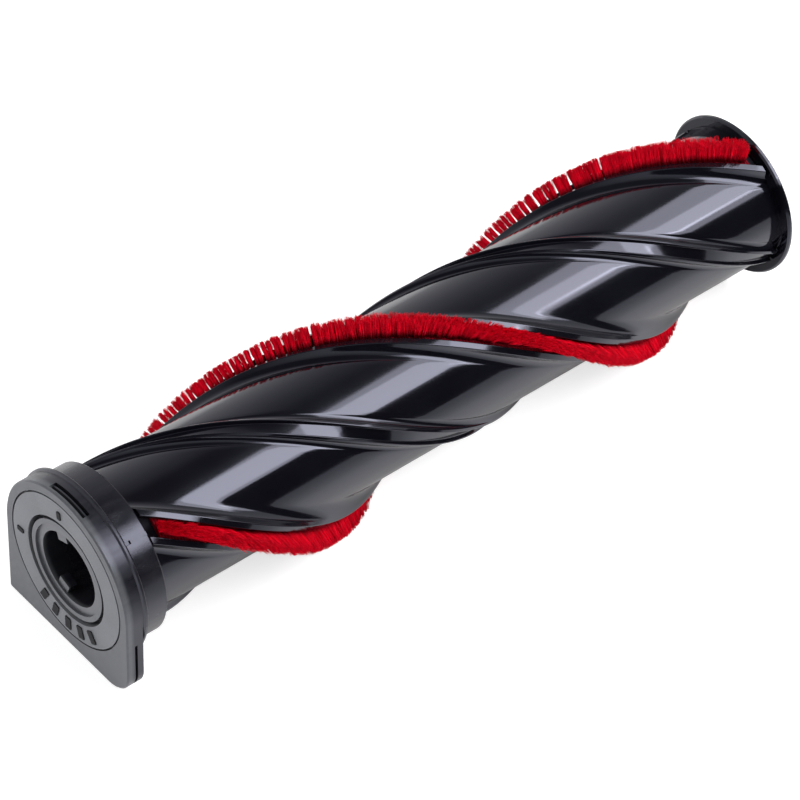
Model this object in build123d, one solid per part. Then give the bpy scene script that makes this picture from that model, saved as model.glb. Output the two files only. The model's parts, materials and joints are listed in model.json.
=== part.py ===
from build123d import *
import os
from math import asin, cos, degrees, radians, sin, sqrt

os.makedirs("parts", exist_ok=True)

# Vacuum cleaner brush roll: a ribbed tube with two spiral pile strips that turns on a D-shaped end cap.
# Millimetres. +X runs along the roll's axis from the end cap to the open drive end, +Z is up.
# The origin is on the axis, halfway along the roll. Stations below are counted from the cap's front face.

# Overall
overall_length = 231.6

# Tube
tube_radius = 20.0
tube_wall = 2.0

# Spiral ribs: four starts, pile channels and open grooves by turns
spiral_lead = 223.0
spiral_phase = 103.0
rib_start_gap = 0.9
flare_hollow = 0.7

# Pile channel in the section across the axis: half widths, and heights above the tube
channel_base_half = 8.4
channel_foot_half = 5.2
channel_foot_height = 2.2
channel_lip_half = 4.9
channel_lip_height = 3.3
channel_crest_height = 3.7
channel_far_lip_drop = 1.2
channel_neck_half = 2.8
channel_room_half = 4.3
channel_room_height = 1.5
channel_floor_height = 0.2

# Open groove, measured the same way
groove_base_half = 5.4
groove_foot_half = 3.0
groove_foot_height = 1.2
groove_crest_half = 2.1
groove_crest_height = 1.8
groove_floor_half = 1.8
groove_floor_height = 0.4

# Pile strips
strip_fit = 0.1
strip_backing_thickness = 1.2
strip_inset_near = 3.0
strip_inset_far = 2.4
pile_height = 7.2
pile_side_gap = 0.3
pile_spread = 0.4

# End cap: plate, flat and face
cap_lip = 1.4
cap_flat_extra = 1.6
cap_plate_depth = 5.0
cap_ring_depth = 1.6
cap_rim_height = 0.6
cap_rim_width = 1.4
cap_rim_bevel = 0.4
cap_corner_round = 8.5
cap_corner_ease = 1.0
cap_face_bevel = 0.4
cap_face_border = 2.7
cap_wall_behind_disc = 2.5

# Skirt of the end cap over the tube's end
seam_width = 0.8
seam_depth = 1.0
skirt_clearance = 2.3
skirt_wall = 1.9
skirt_length = 6.7
skirt_bevel = 0.4
skirt_nick_width = 1.0
skirt_nick_length = 1.5
skirt_nick_depth = 0.6
skirt_nick_angle = 131.0

# Latch slot in the top of the cap's rim
latch_front = 0.9
latch_width = 2.2
latch_half_angle = 16.0
latch_depth = 1.8
latch_tongue_thickness = 0.45
latch_tongue_drop = 0.5

# Rail grooves in the cap's straight sides
rail_front = 2.4
rail_width = 0.8
rail_depth = 1.8
rail_top_drop = 8.0

# Face disc
disc_groove_width = 0.5
disc_thickness = 1.5

# Thin ball bearing between stub axle and carrier
carrier_wall = 2.0
race_wall = 1.2
race_gap = 1.1
bearing_width = 4.0
ball_radius = 1.0
ball_play = 0.15
ball_count = 12
cage_wall = 0.5
cage_side_gap = 0.2
shield_thickness = 0.3
shield_gap = 0.3

# Hollow stub axle that the roll turns on
hub_recess = 0.3
hub_rim_width = 0.9
hub_gap_width = 1.2
hub_gap_depth = 3.0
hub_step_width = 2.3
hub_step_depth = 0.7
hub_wall = 1.5
hub_shoulder_height = 0.8
hub_seat_height = 0.6
hub_seat_fit = 0.05
lug_width = 4.0
lug_angle = 70.0
lug_reach = 3.0
lug_front = 1.5
lug_length = 2.5
boss_wall = 3.1
boss_end = 9.0

# Carrier that holds the bearing in the tube, and the spring clips
running_gap = 0.4
carrier_lip_length = 2.9
carrier_wall_behind = 3.0
carrier_back_step = 1.5
clip_thickness = 0.8
clip_groove_depth = 0.5
clip_height = 1.1
clip_gap_angle = 40.0
stub_end_margin = 1.4

# Felt ring that keeps hair out of the bearing
felt_gap = 0.3
felt_width = 3.0
felt_inset = 0.6

# Splined drive hub inside the tube
drive_station = 84.0
drive_rim_length = 10.0
drive_rim_wall = 2.0
drive_web = 3.0
drive_boss_wall = 2.9
drive_boss_length = 16.0
spline_root_radius = 7.6
spline_tip_radius = 6.4
spline_count = 8
spline_width = 2.2
window_count = 4
window_margin = 0.45

# Flange at the open end
flange_height = 4.0
flange_thickness = 1.7
flange_step_height = 1.0
flange_step_length = 0.6
flange_spigot_length = 10.0
flange_wall = 2.2
flange_ease = 0.5

# Radii that follow from the sizes above
tube_bore = tube_radius - tube_wall
channel_crest_radius = tube_radius + channel_crest_height
channel_floor_radius = tube_radius + channel_floor_height
channel_room_radius = channel_floor_radius + channel_room_height
pile_radius = tube_radius + pile_height
pile_neck_half = channel_neck_half - pile_side_gap
pile_tip_half = pile_neck_half + pile_spread
skirt_bore_radius = tube_radius + skirt_clearance
skirt_radius = skirt_bore_radius + skirt_wall
cap_radius = skirt_radius + cap_lip
cap_rim_radius = cap_radius + cap_rim_height
cap_flat_drop = cap_radius + cap_flat_extra
disc_recess_radius = cap_radius - cap_face_border
disc_radius = disc_recess_radius - disc_groove_width
bearing_outer_radius = tube_bore - carrier_wall
outer_race_radius = bearing_outer_radius - race_wall
inner_race_radius = outer_race_radius - race_gap
bearing_bore_radius = inner_race_radius - race_wall
pitch_radius = (inner_race_radius + outer_race_radius) / 2
hub_bore_radius = bearing_bore_radius - hub_wall
hub_step_radius = hub_bore_radius + hub_step_width
hub_shoulder_radius = bearing_bore_radius + hub_shoulder_height
hub_body_radius = hub_shoulder_radius + hub_seat_height
hub_rim_radius = hub_body_radius + hub_rim_width
disc_hole_radius = hub_rim_radius + hub_gap_width
boss_radius = hub_body_radius + boss_wall
carrier_back_bore = bearing_outer_radius - carrier_back_step
drive_boss_radius = spline_root_radius + drive_boss_wall
drive_rim_bore = tube_bore - drive_rim_wall
flange_radius = tube_radius + flange_height
flange_step_radius = tube_radius + flange_step_height
flange_bore_radius = tube_bore - flange_wall

# Stations that follow from the sizes above
face = -overall_length / 2
cap_ring_end = cap_plate_depth + cap_ring_depth
cap_rim_front = cap_ring_end - cap_rim_width
cap_web_back = disc_thickness + cap_wall_behind_disc
skirt_root_station = cap_plate_depth / 2
skirt_front = cap_ring_end + seam_width
skirt_end = skirt_front + skirt_length
tube_start_station = boss_end + running_gap
rib_start_station = skirt_end + rib_start_gap
flange_front = overall_length - flange_thickness
tube_end_station = flange_front - flange_step_length
bearing_start = tube_start_station + carrier_lip_length + clip_thickness
bearing_end = bearing_start + bearing_width
bearing_mid = bearing_start + bearing_width / 2
cage_width = bearing_width - 2 * (shield_thickness + cage_side_gap)
stub_end = bearing_end + clip_thickness + stub_end_margin
carrier_end = bearing_end + carrier_wall_behind


def across(station):
    """Plane across the axis at a station; its first axis is +Y and its second is +Z."""
    return Plane(origin=(face + station, 0, 0), x_dir=(0, 1, 0), z_dir=(1, 0, 0))


def turned(*profile):
    """Solid turned about the axis from (station, radius) corners."""
    corners = [(face + station, radius) for station, radius in profile]
    return revolve(make_face(Polyline(*corners, close=True)), Axis.X)


def ring(outer, inner, start, end):
    """Plain ring between two stations."""
    return turned((start, inner), (end, inner), (end, outer), (start, outer))


def slab(outline, start, end):
    """Flat outline drawn across the axis, carried from one station to another."""
    return extrude(across(start) * outline, amount=end - start)


def sector(outer, inner, half_angle, start, end):
    """Part of a ring, centred on the top of the roll."""
    left = radians(90 + half_angle)
    right = radians(90 - half_angle)
    inside = ThreePointArc(
        (inner * cos(left), inner * sin(left)), (0, inner), (inner * cos(right), inner * sin(right))
    )
    outside = ThreePointArc(
        (outer * cos(left), outer * sin(left)), (0, outer), (outer * cos(right), outer * sin(right))
    )
    sides = [Line(inside @ 0, outside @ 0), Line(inside @ 1, outside @ 1)]
    return slab(make_face([inside, outside] + sides), start, end)


def spiral_angle(station, start_number):
    """Direction of a spiral start at a station, in degrees from +Y towards +Z."""
    return spiral_phase + 90 * start_number + 360 * station / spiral_lead


def beside(angle, offset, radius):
    """Point at a radius along a direction, moved sideways by an offset."""
    a = radians(angle)
    return (radius * cos(a) - offset * sin(a), radius * sin(a) + offset * cos(a))


def twisted(outline, start, end):
    """Outline across the axis at the start station, carried along the spiral to the end station."""
    length = end - start
    section = across(start) * outline
    return Solid.extrude_linear_with_rotation(
        section.face(), (face + start, 0, 0), (length, 0, 0), 360 * length / spiral_lead
    )


def flare(base, foot):
    """Middle of the hollow curve that rises from the tube to the foot of a lip."""
    middle = [(a + b) / 2 for a, b in zip(base, foot)]
    run = [b - a for a, b in zip(base, foot)]
    length = sqrt(run[0] ** 2 + run[1] ** 2)
    return (
        middle[0] - flare_hollow * run[1] / length,
        middle[1] + flare_hollow * run[0] / length,
    )


def rib_edges(angle, base_half, near_corners, far_corners):
    """Edges of one rib, from its base across the channel to its other base."""
    base = (base_half, sqrt(tube_radius**2 - base_half**2))
    near_bend = flare(base, near_corners[0])
    far_bend = flare(base, far_corners[0])
    near = [(-offset, radius) for offset, radius in near_corners]
    across_channel = [beside(angle, *corner) for corner in near + far_corners[::-1]]
    rise = ThreePointArc(
        beside(angle, -base[0], base[1]), beside(angle, -near_bend[0], near_bend[1]), across_channel[0]
    )
    fall = ThreePointArc(across_channel[-1], beside(angle, *far_bend), beside(angle, *base))
    steps = [Line(a, b) for a, b in zip(across_channel, across_channel[1:])]
    return [rise] + steps + [fall]


def channel_side(drop):
    """Corners of one side of a pile channel, from its foot to its floor, with the lip lowered by a drop."""
    return [
        (channel_foot_half, tube_radius + channel_foot_height - drop),
        (channel_lip_half, tube_radius + channel_lip_height - drop),
        (channel_neck_half, channel_crest_radius - drop),
        (channel_neck_half, channel_room_radius),
        (channel_room_half, channel_room_radius),
        (channel_room_half, channel_floor_radius),
    ]


def tube_outline(station):
    """Outer outline of the tube with its four ribs."""
    near_side = channel_side(0)
    far_side = channel_side(channel_far_lip_drop)
    groove = [
        (groove_foot_half, tube_radius + groove_foot_height),
        (groove_crest_half, tube_radius + groove_crest_height),
        (groove_floor_half, tube_radius + groove_floor_height),
    ]
    kinds = [(channel_base_half, near_side, far_side), (groove_base_half, groove, groove)] * 2
    ribs = []
    for number, kind in enumerate(kinds):
        ribs.append(rib_edges(spiral_angle(station, number), *kind))
    edges = []
    for number, rib in enumerate(ribs):
        following = ribs[(number + 1) % len(ribs)]
        next_base_half = kinds[(number + 1) % len(kinds)][0]
        here = spiral_angle(station, number) + degrees(asin(kinds[number][0] / tube_radius))
        there = spiral_angle(station, number + 1) - degrees(asin(next_base_half / tube_radius))
        halfway = beside((here + there) / 2, 0, tube_radius)
        edges += rib + [ThreePointArc(rib[-1] @ 1, halfway, following[0] @ 0)]
    return make_face(edges)


def make_roller_tube():
    """Ribbed tube; its plain near end runs inside the cap's skirt."""
    ribbed = twisted(tube_outline(rib_start_station), rib_start_station, tube_end_station)
    plain = slab(Circle(tube_radius), tube_start_station, rib_start_station)
    bore = slab(Circle(tube_bore), tube_start_station, tube_end_station)
    return ribbed + plain - bore


def make_bristle_strip(start_number):
    """Pile strip: a backing held under the channel's lips, and the pile that stands out between them."""
    start = rib_start_station + strip_inset_near
    end = tube_end_station - strip_inset_far
    angle = spiral_angle(start, start_number)
    backing_half = channel_room_half - strip_fit
    backing_low = channel_floor_radius + strip_fit
    backing_top = backing_low + strip_backing_thickness
    tip_height = sqrt(pile_radius**2 - pile_tip_half**2)
    right = [
        (backing_half, backing_low),
        (backing_half, backing_top),
        (pile_neck_half, backing_top),
        (pile_neck_half, channel_crest_radius),
        (pile_tip_half, tip_height),
    ]
    left = [(-offset, radius) for offset, radius in right[::-1]]
    corners = [beside(angle, *corner) for corner in left + right]
    tips = ThreePointArc(corners[0], beside(angle, 0, pile_radius), corners[-1])
    sides = [Line(a, b) for a, b in zip(corners, corners[1:])]
    return twisted(make_face(sides + [tips]), start, end)


def cap_outline():
    """D outline of the cap: round above, straight sides, flat below."""
    crown = ThreePointArc((cap_radius, 0), (0, cap_radius), (-cap_radius, 0))
    base = Polyline(
        (-cap_radius, 0), (-cap_radius, -cap_flat_drop), (cap_radius, -cap_flat_drop), (cap_radius, 0)
    )
    outline = make_face([crown] + list(base.edges()))
    corners = outline.vertices().sort_by(Axis.Y)[:2].sort_by(Axis.X)
    outline = fillet(corners[0], cap_corner_round)
    eased = outline.vertices().sort_by(Axis.Y)[:2].sort_by(Axis.X)[-1]
    return fillet(eased, cap_corner_ease)


def make_end_cap():
    """D-shaped cap with its rim, skirt, boss, disc recess, latch slot and rail grooves."""
    plate = slab(cap_outline(), 0, cap_plate_depth)
    plate = chamfer(plate.faces().sort_by(Axis.X)[0].edges(), cap_face_bevel)
    body = plate + turned(
        (skirt_root_station, 0),
        (skirt_root_station, cap_radius),
        (cap_rim_front, cap_radius),
        (cap_rim_front + cap_rim_bevel, cap_rim_radius),
        (cap_ring_end - cap_rim_bevel, cap_rim_radius),
        (cap_ring_end, cap_rim_radius - cap_rim_bevel),
        (cap_ring_end, skirt_radius - seam_depth),
        (skirt_front, skirt_radius - seam_depth),
        (skirt_front, skirt_radius),
        (skirt_end - skirt_bevel, skirt_radius),
        (skirt_end, skirt_radius - skirt_bevel),
        (skirt_end, 0),
    )
    body -= ring(skirt_bore_radius, boss_radius, cap_web_back, skirt_end)
    body -= turned((boss_end, 0), (boss_end, boss_radius), (skirt_end, boss_radius), (skirt_end, 0))
    body -= turned(
        (0, 0),
        (0, disc_recess_radius),
        (disc_thickness, disc_recess_radius),
        (disc_thickness, disc_hole_radius),
        (hub_gap_depth, disc_hole_radius),
        (hub_gap_depth, hub_body_radius + hub_seat_fit),
        (boss_end, hub_body_radius + hub_seat_fit),
        (boss_end, 0),
    )
    return body - latch_slot() - rail_grooves() - skirt_nicks()


def latch_slot():
    """Slot in the rim with a thin tongue left standing in it."""
    floor = cap_radius - latch_depth
    slot = sector(cap_radius + latch_depth, floor, latch_half_angle, latch_front, latch_front + latch_width)
    middle = latch_front + latch_width / 2
    tongue = sector(
        cap_radius - latch_tongue_drop,
        floor - latch_tongue_thickness,
        latch_half_angle,
        middle,
        middle + latch_tongue_thickness,
    )
    return slot - tongue


def rail_grooves():
    """Upright grooves that guide the cap into the cleaner head."""
    height = cap_flat_drop - rail_top_drop
    cuts = []
    for side in (-1, 1):
        centre = (side * cap_radius, -rail_top_drop - height / 2)
        outline = Pos(*centre) * Rectangle(2 * rail_depth, height)
        cuts.append(slab(outline, rail_front, rail_front + rail_width))
    return cuts


def skirt_nicks():
    """Two small nicks at the edges of the skirt."""
    outline = Pos(skirt_radius, 0) * Rectangle(2 * skirt_nick_depth, skirt_nick_width)
    cuts = []
    for start in (skirt_front, skirt_end - skirt_nick_length):
        cuts.append(slab(Rot(0, 0, skirt_nick_angle) * outline, start, start + skirt_nick_length))
    return cuts


def make_axle_sleeve():
    """Hollow stub axle with a stepped mouth, two lugs in the bore and a groove for its clip."""
    clip_start = bearing_end
    clip_end = clip_start + clip_thickness
    clip_floor = bearing_bore_radius - clip_groove_depth
    sleeve = turned(
        (hub_recess, hub_step_radius),
        (hub_recess, hub_rim_radius),
        (hub_gap_depth, hub_rim_radius),
        (hub_gap_depth, hub_body_radius),
        (boss_end, hub_body_radius),
        (boss_end, hub_shoulder_radius),
        (bearing_start, hub_shoulder_radius),
        (bearing_start, bearing_bore_radius),
        (clip_start, bearing_bore_radius),
        (clip_start, clip_floor),
        (clip_end, clip_floor),
        (clip_end, bearing_bore_radius),
        (stub_end, bearing_bore_radius),
        (stub_end, hub_bore_radius),
        (hub_recess + hub_step_depth, hub_bore_radius),
        (hub_recess + hub_step_depth, hub_step_radius),
    )
    lug_tip = hub_bore_radius - lug_reach
    lug_middle = (lug_tip + hub_shoulder_radius) / 2
    outline = Pos(lug_middle, 0) * Rectangle(hub_shoulder_radius - lug_tip, lug_width)
    for angle in (-lug_angle, lug_angle):
        sleeve += slab(Rot(0, 0, angle) * outline, lug_front, lug_front + lug_length)
    return sleeve


def clip(inner, outer, start):
    """Open spring ring."""
    whole = ring(outer, inner, start, start + clip_thickness)
    gap = sector(outer + clip_height, inner - clip_height, clip_gap_angle / 2, start, start + clip_thickness)
    return whole - gap


def race_groove():
    """Ring of round section that the balls need to run, with their play."""
    centre = (face + bearing_mid, pitch_radius)
    return revolve(Pos(*centre) * Circle(ball_radius + ball_play), Axis.X)


def make_bearing_inner_ring():
    """Inner race, pressed on the stub axle."""
    return ring(inner_race_radius, bearing_bore_radius, bearing_start, bearing_end) - race_groove()


def make_bearing_outer_ring():
    """Outer race, pressed in the carrier."""
    return ring(bearing_outer_radius, outer_race_radius, bearing_start, bearing_end) - race_groove()


def ball_places():
    """Locations of the balls round the axis."""
    middle = Location(across(bearing_mid))
    return [middle * Rot(0, 0, 360 * i / ball_count) * Pos(pitch_radius, 0, 0) for i in range(ball_count)]


def make_bearing_cage():
    """Crown ring with a pocket for each ball, open towards the cap."""
    half = cage_wall / 2
    start = bearing_mid - cage_width / 2
    cage = ring(pitch_radius + half, pitch_radius - half, start, start + cage_width)
    room = 2 * (ball_radius + ball_play)
    pocket = Pos(0, 0, -cage_width / 2) * Box(4 * cage_wall, room, room + cage_width)
    return cage - [place * pocket for place in ball_places()]


def make_bearing_shield(start):
    """Thin washer that closes one side of the bearing."""
    return ring(outer_race_radius, inner_race_radius + shield_gap, start, start + shield_thickness)


def make_bearing_carrier():
    """Bush in the tube's end that holds the bearing."""
    clip_start = bearing_start - clip_thickness
    clip_floor = bearing_outer_radius + clip_groove_depth
    return turned(
        (tube_start_station, bearing_outer_radius),
        (clip_start, bearing_outer_radius),
        (clip_start, clip_floor),
        (bearing_start, clip_floor),
        (bearing_start, bearing_outer_radius),
        (bearing_end, bearing_outer_radius),
        (bearing_end, carrier_back_bore),
        (carrier_end, carrier_back_bore),
        (carrier_end, tube_bore),
        (tube_start_station, tube_bore),
    )


def make_felt_seal():
    """Felt ring in the skirt, close round the tube."""
    end = skirt_end - felt_inset
    return ring(skirt_bore_radius, tube_radius + felt_gap, end - felt_width, end)


def make_drive_hub():
    """Hub in the tube with a splined socket for the drive."""
    web_end = drive_station + drive_web
    rim_end = drive_station + drive_rim_length
    hub = turned(
        (drive_station, 0),
        (drive_station, tube_bore),
        (rim_end, tube_bore),
        (rim_end, drive_rim_bore),
        (web_end, drive_rim_bore),
        (web_end, drive_boss_radius),
        (drive_station + drive_boss_length, drive_boss_radius),
        (drive_station + drive_boss_length, 0),
    )
    teeth = Circle(spline_root_radius)
    middle = (spline_tip_radius + spline_root_radius + spline_width) / 2
    length = spline_root_radius + spline_width - spline_tip_radius
    teeth -= PolarLocations(0, spline_count) * (Pos(middle, 0) * Rectangle(length, spline_width))
    hub -= slab(teeth, drive_station, drive_station + drive_boss_length)
    window_place = (drive_boss_radius + drive_rim_bore) / 2
    window_radius = (drive_rim_bore - drive_boss_radius) / 2 - window_margin
    windows = PolarLocations(window_place, window_count) * Circle(window_radius)
    return hub - slab(Sketch() + windows, drive_station, web_end)


def make_end_flange():
    """Thin flange at the open end, with the spigot that holds it in the tube."""
    return turned(
        (tube_end_station - flange_spigot_length, flange_bore_radius),
        (tube_end_station - flange_spigot_length, tube_bore),
        (tube_end_station, tube_bore),
        (tube_end_station, flange_step_radius),
        (flange_front, flange_step_radius),
        (flange_front, flange_radius - flange_ease),
        (flange_front + flange_ease, flange_radius),
        (overall_length - flange_ease, flange_radius),
        (overall_length, flange_radius - flange_ease),
        (overall_length, flange_bore_radius),
    )


nodes = {
    "end_cap": make_end_cap(),
    "face_disc": ring(disc_radius, disc_hole_radius, 0, disc_thickness),
    "axle_sleeve": make_axle_sleeve(),
    "axle_clip": clip(
        bearing_bore_radius - clip_groove_depth,
        bearing_bore_radius - clip_groove_depth + clip_height,
        bearing_end,
    ),
    "felt_seal": make_felt_seal(),
    "bearing_inner_ring": make_bearing_inner_ring(),
    "bearing_outer_ring": make_bearing_outer_ring(),
    "bearing_cage": make_bearing_cage(),
    "bearing_shield_front": make_bearing_shield(bearing_start),
    "bearing_shield_back": make_bearing_shield(bearing_end - shield_thickness),
    "bearing_carrier": make_bearing_carrier(),
    "carrier_clip": clip(
        bearing_outer_radius + clip_groove_depth - clip_height,
        bearing_outer_radius + clip_groove_depth,
        bearing_start - clip_thickness,
    ),
    "roller_tube": make_roller_tube(),
    "bristle_strip_a": make_bristle_strip(0),
    "bristle_strip_b": make_bristle_strip(2),
    "drive_hub": make_drive_hub(),
    "end_flange": make_end_flange(),
}
for number, place in enumerate(ball_places(), start=1):
    nodes[f"bearing_ball_{number}"] = place * Sphere(ball_radius)

for name, shape in nodes.items():
    export_step(shape, f"parts/{name}.step")
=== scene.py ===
import json
from math import asin, atan2, cos, pi, radians, sin, sqrt

import bpy
import numpy as np
from mathutils import Matrix, Vector
from mathutils.geometry import tessellate_polygon


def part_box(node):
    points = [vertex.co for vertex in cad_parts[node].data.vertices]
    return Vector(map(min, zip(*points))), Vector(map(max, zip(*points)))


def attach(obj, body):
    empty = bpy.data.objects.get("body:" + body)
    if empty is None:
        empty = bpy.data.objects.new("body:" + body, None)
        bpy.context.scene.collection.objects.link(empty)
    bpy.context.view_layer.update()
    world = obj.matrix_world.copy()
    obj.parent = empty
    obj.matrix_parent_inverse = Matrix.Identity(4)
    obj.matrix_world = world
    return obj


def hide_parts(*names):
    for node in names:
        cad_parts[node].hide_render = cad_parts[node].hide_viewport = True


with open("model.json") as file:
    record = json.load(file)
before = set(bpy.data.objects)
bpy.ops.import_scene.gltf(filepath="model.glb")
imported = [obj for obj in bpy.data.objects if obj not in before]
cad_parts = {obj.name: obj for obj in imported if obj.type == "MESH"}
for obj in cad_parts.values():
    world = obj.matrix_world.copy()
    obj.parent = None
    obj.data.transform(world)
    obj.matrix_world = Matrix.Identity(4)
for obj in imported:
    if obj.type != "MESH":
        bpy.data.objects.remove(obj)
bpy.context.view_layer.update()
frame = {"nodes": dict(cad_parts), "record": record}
nodes = frame["nodes"]

# Vacuum brush roll: metres, +X along the axis from the end cap to the open end, +Z up.
# Stations are counted along +X from the cap's front face.
MM = 0.001
SEED = 7
random = np.random.default_rng(SEED)

# Places read from the frame
FACE_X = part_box("end_cap")[0].x
FLOOR_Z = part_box("end_cap")[0].z
TUBE_START_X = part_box("roller_tube")[0].x
TUBE_END_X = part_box("roller_tube")[1].x
STRIP_START_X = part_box("bristle_strip_a")[0].x
STRIP_END_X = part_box("bristle_strip_a")[1].x
PILE_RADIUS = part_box("bristle_strip_a")[1].z

# Tube and its spiral ribs
TUBE_RADIUS = 20.0 * MM
TUBE_BORE_RADIUS = 18.0 * MM
RIB_START_STATION = 15.0 * MM
SPIRAL_LEAD = 223.0 * MM
SPIRAL_PHASE = radians(103.0)
FLARE_HOLLOW = 0.7 * MM

# Ribs across the axis, with corners in millimetres: half width, height above the tube, edge radius
CHANNEL_BASE_HALF = 8.4 * MM
CHANNEL_NEAR_SIDE = [
    (5.2, 2.2, 0.15),
    (4.9, 3.3, 0.4),
    (2.8, 3.7, 0.3),
    (2.8, 1.7, 0.15),
    (4.3, 1.7, 0.2),
    (4.3, 0.2, 0.3),
]
CHANNEL_FAR_SIDE = [
    (5.2, 1.0, 0.15),
    (4.9, 2.1, 0.4),
    (2.8, 2.5, 0.25),
    (2.8, 1.7, 0.15),
    (4.3, 1.7, 0.2),
    (4.3, 0.2, 0.3),
]
GROOVE_BASE_HALF = 5.4 * MM
GROOVE_SIDE = [(3.0, 1.2, 0.2), (2.1, 1.8, 0.3), (1.8, 0.4, 0.3)]
# Reach of the dull finish inside a pile channel: half width, and distance from the axis
CHANNEL_ROOM_HALF = 4.4 * MM
CHANNEL_ROOM_RADIUS = 22.0 * MM

# Fineness of the tube's mesh: steps of a flare, an edge and the skin between ribs, rings, points round
FLARE_STEPS = 10
EDGE_STEPS = 4
SKIN_STEPS = 14
TUBE_RINGS = 190
ROUND_POINTS = 160
# Largest share of a side that a rounded edge takes up
EDGE_SHARE = 0.48

# Camera, as fitted to the photograph
CAMERA_AZIMUTH = radians(-41.445)
CAMERA_ELEVATION = radians(44.965)
CAMERA_ROLL = radians(2.325)
CAMERA_DISTANCE = 1101.36 * MM
CAMERA_AIM_STATION = 110.0 * MM
CAMERA_SLIDE_RIGHT = -0.197 * MM
CAMERA_SLIDE_UP = 4.773 * MM
FOCAL_PIXELS = 4145.5
IMAGE_PIXELS = 800
SENSOR_WIDTH = 36.0


def link(obj):
    """Puts a new object in the scene."""
    bpy.context.scene.collection.objects.link(obj)
    return obj


# Materials


def set_stops(ramp, stops):
    """Grey levels of a colour ramp by position."""
    while len(ramp.color_ramp.elements) < len(stops):
        ramp.color_ramp.elements.new(1.0)
    for element, (position, grey) in zip(ramp.color_ramp.elements, stops):
        element.position = position
        element.color = (grey, grey, grey, 1)


class Nodes:
    """Short names for building one material's node tree."""

    def __init__(self, name):
        self.material = bpy.data.materials.new(name)
        self.material.use_nodes = True
        self.tree = self.material.node_tree
        self.shader = self.tree.nodes["Principled BSDF"]
        self.output = self.tree.nodes["Material Output"]

    def add(self, kind, **values):
        """New node, with its properties and input values set by name."""
        node = self.tree.nodes.new(kind)
        for key, value in values.items():
            if key in node.inputs:
                self.feed(node.inputs[key], value)
            else:
                setattr(node, key, value)
        return node

    def feed(self, socket, value):
        """Sets a socket's value, or links an output socket to it."""
        if isinstance(value, bpy.types.NodeSocket):
            self.tree.links.new(value, socket)
        else:
            socket.default_value = value

    def set(self, **values):
        """Shader inputs by name, with underscores for spaces."""
        for key, value in values.items():
            self.feed(self.shader.inputs[key.replace("_", " ")], value)

    def place(self, stretch=(1, 1, 1)):
        """Object coordinates, stretched by a factor along each axis."""
        coordinates = self.add("ShaderNodeTexCoord")
        return self.add("ShaderNodeMapping", Vector=coordinates.outputs["Object"], Scale=stretch).outputs[0]

    def noise(self, scale, detail=4.0, stretch=(1, 1, 1)):
        """Noise value, with a scale in cells per metre."""
        place = self.place(stretch)
        return self.add("ShaderNodeTexNoise", Vector=place, Scale=scale, Detail=detail).outputs["Fac"]

    def ramp(self, value, low, high, start=0.0, end=1.0):
        """Number or colour that runs from low to high as a value runs from start to end."""
        if isinstance(low, tuple):
            node = self.add("ShaderNodeMix", data_type="RGBA")
            share = self.add("ShaderNodeMapRange", Value=value)
            self.feed(share.inputs["From Min"], start)
            self.feed(share.inputs["From Max"], end)
            self.feed(node.inputs["Factor"], share.outputs[0])
            node.inputs[6].default_value = (*low, 1)
            node.inputs[7].default_value = (*high, 1)
            return node.outputs[2]
        node = self.add("ShaderNodeMapRange", Value=value)
        for name, number in (("From Min", start), ("From Max", end), ("To Min", low), ("To Max", high)):
            node.inputs[name].default_value = number
        return node.outputs[0]

    def steps(self, value, stops):
        """Grey level that follows a list of positions and levels."""
        node = self.add("ShaderNodeValToRGB", Fac=value)
        set_stops(node, stops)
        return node.outputs["Color"]

    def bump(self, height, strength, distance, normal=None):
        """Normal from a height value; distance is in metres."""
        node = self.add("ShaderNodeBump", Height=height, Strength=strength, Distance=distance)
        if normal is not None:
            self.feed(node.inputs["Normal"], normal)
        return node.outputs[0]


# Depths behind the cap's face: end of the grained face, end of the skirt
FACE_GRAIN_DEPTH = 1.2 * MM
SKIRT_END_DEPTH = 14.1 * MM
# Cool cast of black plastic in white light
PLASTIC_TINT = (0.79, 0.80, 1.0, 1)
# Roughness that is added inside the pile channels
CHANNEL_DULLNESS = 0.7


def gloss_black():
    """Polished black plastic with faint lengthwise streaks, dull inside the pile channels."""
    m = Nodes("gloss_black")
    streaks = m.noise(60, 5, stretch=(0.15, 12, 12))
    haze = m.noise(45, 3)
    roughness = m.add("ShaderNodeMath", operation="ADD")
    m.feed(roughness.inputs[0], m.ramp(streaks, 0.07, 0.115, 0.3, 0.7))
    m.feed(roughness.inputs[1], m.ramp(haze, 0.0, 0.03, 0.35, 0.7))
    inside = m.add("ShaderNodeAttribute", attribute_name="inside").outputs["Fac"]
    dusty = m.add("ShaderNodeMath", operation="MULTIPLY_ADD")
    m.feed(dusty.inputs[0], inside)
    m.feed(dusty.inputs[1], CHANNEL_DULLNESS)
    m.feed(dusty.inputs[2], roughness.outputs[0])
    m.set(Base_Color=m.ramp(haze, (0.002, 0.002, 0.0035), (0.004, 0.004, 0.0065), 0.3, 0.7))
    m.set(Roughness=dusty.outputs[0], IOR=1.52, Specular_Tint=PLASTIC_TINT)
    m.set(Normal=m.bump(m.noise(700, 2), 0.03, 0.02 * MM))
    return m.material


def satin_black(name, base, roughness, grain):
    """Moulded satin plastic with a fine grain."""
    m = Nodes(name)
    fine = m.noise(grain, 3)
    broad = m.noise(60, 3)
    lighter = tuple(1.35 * c for c in base)
    m.set(Base_Color=m.ramp(broad, base, lighter, 0.35, 0.65))
    m.set(Roughness=m.ramp(fine, roughness - 0.06, roughness + 0.08, 0.3, 0.7), IOR=1.5)
    m.set(Specular_Tint=PLASTIC_TINT, Normal=m.bump(fine, 0.12, 0.03 * MM))
    return m.material


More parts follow.
